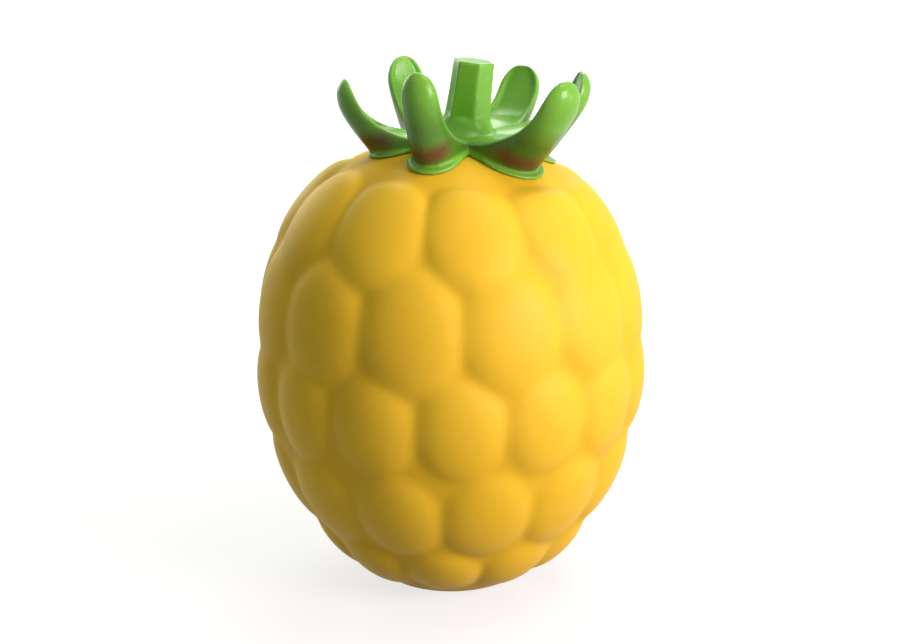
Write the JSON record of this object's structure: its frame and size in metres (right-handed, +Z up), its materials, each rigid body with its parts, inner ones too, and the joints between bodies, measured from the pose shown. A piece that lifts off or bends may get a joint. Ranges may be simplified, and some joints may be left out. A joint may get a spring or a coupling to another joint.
{
  "type": "fruit-shaped night light",
  "caption": "Night light: a bumpy yellow fruit-shaped vinyl shade with a glossy green leaf crown lifts off a small battery lamp base with a coin-turned cap and a push button.",
  "frame": {"origin": "on the table, at the centre of the body's box, which is the axis of the lamp base", "axes": "+Z up along the axis of the lamp base; -Y is the front that the picture shows; +X is to the right of that view"},
  "size_m": [0.1814, 0.1828, 0.247],
  "materials": {
    "yellow_vinyl": "matte moulded vinyl, slightly velvety",
    "green_vinyl": "glossy painted vinyl",
    "white_plastic": "satin moulded",
    "steel": "bright zinc plated",
    "dark_rubber": "matte",
    "green_board": "solder mask, satin",
    "black_plastic": "satin moulded",
    "red_lead": "soft insulation",
    "black_lead": "soft insulation",
    "cell_wrap": "shrink wrap over a steel can",
    "brass": "plain",
    "white_board": "solder mask, satin",
    "light_chip": "phosphor resin",
    "opal_plastic": "opal, translucent satin",
    "red_rubber": "matte",
    "orange_plastic": "satin moulded"
  },
  "bodies": {
    "lamp_base": {"base_plate": "white_plastic", "rubber_feet": "dark_rubber", "base_screws": "steel", "lamp_column": "white_plastic", "switch_board": "green_board", "board_screws": "steel", "switch_body": "black_plastic", "switch_lead_red": "red_lead", "switch_lead_black": "black_lead", "battery_carrier": "black_plastic", "battery_cell_1": "cell_wrap", "battery_cell_2": "cell_wrap", "battery_cell_3": "cell_wrap", "cell_springs": "steel", "battery_contacts": "brass", "led_board": "white_board", "led_chips": "light_chip", "led_screws": "steel", "diffuser": "opal_plastic"},
    "shade": {"fruit_shell": "yellow_vinyl", "leaf_crown": "green_vinyl", "crown_washer": "steel", "crown_screw": "steel", "mouth_ring": "white_plastic"},
    "battery_cap": {"battery_cap": "white_plastic", "cap_spring": "steel", "cap_seal": "red_rubber"},
    "power_button": {"power_button": "orange_plastic", "switch_plunger": "white_plastic"}
  },
  "joints": [
    {"name": "shade_lift", "type": "slide", "parent": "lamp_base", "child": "shade", "axis": [0, 0, 1], "range_m": [0, 0.16]},
    {"name": "cap_turn", "type": "hinge", "parent": "lamp_base", "child": "battery_cap", "pos_m": [0, 0, 0.003], "axis": [0, 0, 1], "range_deg": [0, 60]},
    {"name": "button_press", "type": "slide", "parent": "lamp_base", "child": "power_button", "axis": [0, 0, 1], "range_m": [0, 0.0008], "stiffness_N_per_m": 900, "springref_m": -0.0004}
  ]
}
